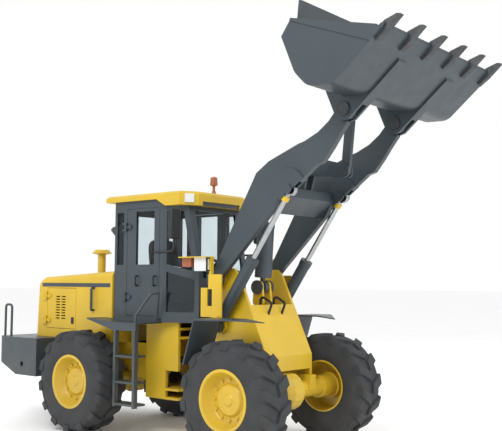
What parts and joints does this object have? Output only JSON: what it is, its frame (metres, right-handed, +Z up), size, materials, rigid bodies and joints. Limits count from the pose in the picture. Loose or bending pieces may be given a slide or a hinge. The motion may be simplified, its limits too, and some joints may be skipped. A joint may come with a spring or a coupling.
{
  "type": "wheel loader",
  "caption": "Articulated wheel loader with a glazed cab, rear engine hood, raised boom with reversing linkage, toothed bucket and lugged tyres.",
  "frame": {"origin": "middle of the footprint on the ground", "axes": "+X forward towards the bucket, +Y left, +Z up"},
  "size_m": [6.7104, 2.474, 4.92],
  "materials": {
    "yellow": "semi-gloss",
    "slate": "satin",
    "dark_steel": "matt",
    "rod_chrome": "polished",
    "tyre": "matt",
    "glass": "clear",
    "black_plastic": "matt",
    "lamp": "clear lens",
    "amber": "clear lens",
    "red_lamp": "clear lens",
    "hose": "matt",
    "fabric": "woven"
  },
  "bodies": {
    "rear_half": {"rear_frame": "yellow", "counterweight": "slate", "engine_block": "dark_steel", "radiator_grille": "black_plastic", "hood": "yellow", "pre_cleaner": "yellow", "exhaust_stack": "dark_steel", "rear_axle": "yellow", "transmission": "dark_steel", "cab_floor": "slate", "cab_shell": "slate", "cab_glass": "glass", "cab_roof": "yellow", "roof_lamps": "lamp", "beacon": "amber", "seat": "fabric", "steering_console": "black_plastic", "mirrors": "black_plastic", "handrails": "slate", "tail_lamps": "red_lamp", "platforms": "slate"},
    "front_half": {"front_frame": "yellow", "front_axle": "yellow", "front_fenders": "slate", "headlamp_brackets": "yellow", "headlamps": "lamp", "hoses": "hose"},
    "boom": {"boom": "slate"},
    "bucket_pins": {"bucket_pins": "dark_steel"},
    "bucket": {"bucket": "slate", "bucket_teeth": "dark_steel"},
    "rocker_pin": {"rocker_pin": "dark_steel"},
    "rocker": {"rocker": "slate"},
    "link_pin": {"link_pin": "dark_steel"},
    "link": {"link": "slate"},
    "lift_barrels": {"lift_barrels": "slate"},
    "lift_rods": {"lift_rods": "rod_chrome"},
    "tilt_pin": {"tilt_pin": "dark_steel"},
    "tilt_barrel": {"tilt_barrel": "slate"},
    "tilt_rod": {"tilt_rod": "rod_chrome"},
    "steer_barrel_left": {"steer_barrel_left": "slate"},
    "steer_rod_left": {"steer_rod_left": "rod_chrome"},
    "cab_door_left": {"cab_door_left": "slate", "door_glass_left": "glass"},
    "hood_door_left": {"hood_door_left": "yellow"},
    "steer_barrel_right": {"steer_barrel_right": "slate"},
    "steer_rod_right": {"steer_rod_right": "rod_chrome"},
    "cab_door_right": {"cab_door_right": "slate", "door_glass_right": "glass"},
    "hood_door_right": {"hood_door_right": "yellow"},
    "wheel_front_left": {"rim_front_left": "yellow", "tyre_front_left": "tyre"},
    "wheel_front_right": {"rim_front_right": "yellow", "tyre_front_right": "tyre"},
    "wheel_rear_left": {"rim_rear_left": "yellow", "tyre_rear_left": "tyre"},
    "wheel_rear_right": {"rim_rear_right": "yellow", "tyre_rear_right": "tyre"}
  },
  "joints": [
    {"name": "steer", "type": "hinge", "parent": "rear_half", "child": "front_half", "pos_m": [-0.2527, 0, 0.92], "axis": [0, 0, 1], "range_deg": [-35, 35]},
    {"name": "boom_lift", "type": "hinge", "parent": "front_half", "child": "boom", "pos_m": [0.4173, 0, 1.98], "axis": [0, 1, 0], "range_deg": [0, 88]},
    {"name": "bucket_level", "type": "hinge", "parent": "boom", "child": "bucket_pins", "pos_m": [2.3173, 0, 3.81], "axis": [0, 1, 0], "range_deg": [-50, 0]},
    {"name": "bucket_tilt", "type": "hinge", "parent": "bucket_pins", "child": "bucket", "pos_m": [2.3173, 0, 3.81], "axis": [0, -1, 0], "range_deg": [-85, 2]},
    {"name": "rocker_level", "type": "hinge", "parent": "boom", "child": "rocker_pin", "pos_m": [1.3973, 0, 3.34], "axis": [0, 1, 0], "range_deg": [0, 34]},
    {"name": "rocker_turn", "type": "hinge", "parent": "rocker_pin", "child": "rocker", "pos_m": [1.3973, 0, 3.34], "axis": [0, -1, 0], "range_deg": [-2, 35]},
    {"name": "link_level", "type": "hinge", "parent": "bucket", "child": "link_pin", "pos_m": [2.0373, 0, 4.05], "axis": [0, 1, 0], "range_deg": [0, 54]},
    {"name": "link_turn", "type": "hinge", "parent": "link_pin", "child": "link", "pos_m": [2.0373, 0, 4.05], "axis": [0, -1, 0], "range_deg": [-2, 45]},
    {"name": "lift_barrel_turn", "type": "hinge", "parent": "front_half", "child": "lift_barrels", "pos_m": [0.4473, 0, 1.42], "axis": [0, 1, 0], "range_deg": [0, 83]},
    {"name": "lift_rod_slide", "type": "slide", "parent": "lift_barrels", "child": "lift_rods", "axis": [0.5714, 0, 0.8207], "range_m": [-0.768, 0]},
    {"name": "tilt_level", "type": "hinge", "parent": "front_half", "child": "tilt_pin", "pos_m": [0.7173, 0, 1.89], "axis": [0, 1, 0], "range_deg": [0, 98]},
    {"name": "tilt_barrel_turn", "type": "hinge", "parent": "tilt_pin", "child": "tilt_barrel", "pos_m": [0.7173, 0, 1.89], "axis": [0, -1, 0], "range_deg": [-15, 2]},
    {"name": "tilt_rod_slide", "type": "slide", "parent": "tilt_barrel", "child": "tilt_rod", "axis": [0.0641, 0, 0.9979], "range_m": [-0.259, 0.007]},
    {"name": "steer_barrel_left_turn", "type": "hinge", "parent": "rear_half", "child": "steer_barrel_left", "pos_m": [-0.6927, 0.23, 0.95], "axis": [0, 0, 1], "range_deg": [-15, 15]},
    {"name": "steer_rod_left_slide", "type": "slide", "parent": "steer_barrel_left", "child": "steer_rod_left", "axis": [1, 0, 0], "range_m": [-0.14, 0.14]},
    {"name": "cab_door_left_swing", "type": "hinge", "parent": "rear_half", "child": "cab_door_left", "pos_m": [-1.0857, 0.644, 1.5], "axis": [0, 0, 1], "range_deg": [0, 160]},
    {"name": "hood_door_left_swing", "type": "hinge", "parent": "rear_half", "child": "hood_door_left", "pos_m": [-2.7487, 0.664, 1.5], "axis": [0, 0, 1], "range_deg": [0, 90]},
    {"name": "steer_barrel_right_turn", "type": "hinge", "parent": "rear_half", "child": "steer_barrel_right", "pos_m": [-0.6927, -0.23, 0.95], "axis": [0, 0, 1], "range_deg": [-15, 15]},
    {"name": "steer_rod_right_slide", "type": "slide", "parent": "steer_barrel_right", "child": "steer_rod_right", "axis": [1, 0, 0], "range_m": [-0.14, 0.14]},
    {"name": "cab_door_right_swing", "type": "hinge", "parent": "rear_half", "child": "cab_door_right", "pos_m": [-1.0857, -0.644, 1.5], "axis": [0, 0, -1], "range_deg": [0, 160]},
    {"name": "hood_door_right_swing", "type": "hinge", "parent": "rear_half", "child": "hood_door_right", "pos_m": [-2.7487, -0.664, 1.5], "axis": [0, 0, -1], "range_deg": [0, 90]},
    {"name": "wheel_front_left_spin", "type": "hinge", "parent": "front_half", "child": "wheel_front_left", "pos_m": [1.0773, 0.93, 0.655], "axis": [0, 1, 0], "continuous": true},
    {"name": "wheel_front_right_spin", "type": "hinge", "parent": "front_half", "child": "wheel_front_right", "pos_m": [1.0773, -0.93, 0.655], "axis": [0, 1, 0], "continuous": true},
    {"name": "wheel_rear_left_spin", "type": "hinge", "parent": "rear_half", "child": "wheel_rear_left", "pos_m": [-1.5827, 0.93, 0.655], "axis": [0, 1, 0], "continuous": true},
    {"name": "wheel_rear_right_spin", "type": "hinge", "parent": "rear_half", "child": "wheel_rear_right", "pos_m": [-1.5827, -0.93, 0.655], "axis": [0, 1, 0], "continuous": true}
  ],
  "couplings": [
    {"joint": "bucket_level", "follows": "boom_lift", "ratio": -0.54772},
    {"joint": "rocker_level", "follows": "boom_lift", "ratio": 0.37598},
    {"joint": "rocker_turn", "follows": "bucket_tilt", "ratio": -0.40082},
    {"joint": "link_level", "follows": "boom_lift", "ratio": 0.60164},
    {"joint": "link_turn", "follows": "bucket_tilt", "ratio": -0.51741},
    {"joint": "lift_barrel_turn", "follows": "boom_lift", "ratio": 0.93829},
    {"joint": "lift_rod_slide", "follows": "boom_lift", "m_per_rad": -0.49886},
    {"joint": "tilt_level", "follows": "boom_lift", "ratio": 1.0976},
    {"joint": "tilt_barrel_turn", "follows": "bucket_tilt", "ratio": 0.16282},
    {"joint": "tilt_rod_slide", "follows": "bucket_tilt", "m_per_rad": 0.17344},
    {"joint": "steer_barrel_left_turn", "follows": "steer", "ratio": 0.3987},
    {"joint": "steer_rod_left_slide", "follows": "steer", "m_per_rad": -0.22591},
    {"joint": "steer_barrel_right_turn", "follows": "steer", "ratio": 0.3987},
    {"joint": "steer_rod_right_slide", "follows": "steer", "m_per_rad": 0.22591}
  ]
}
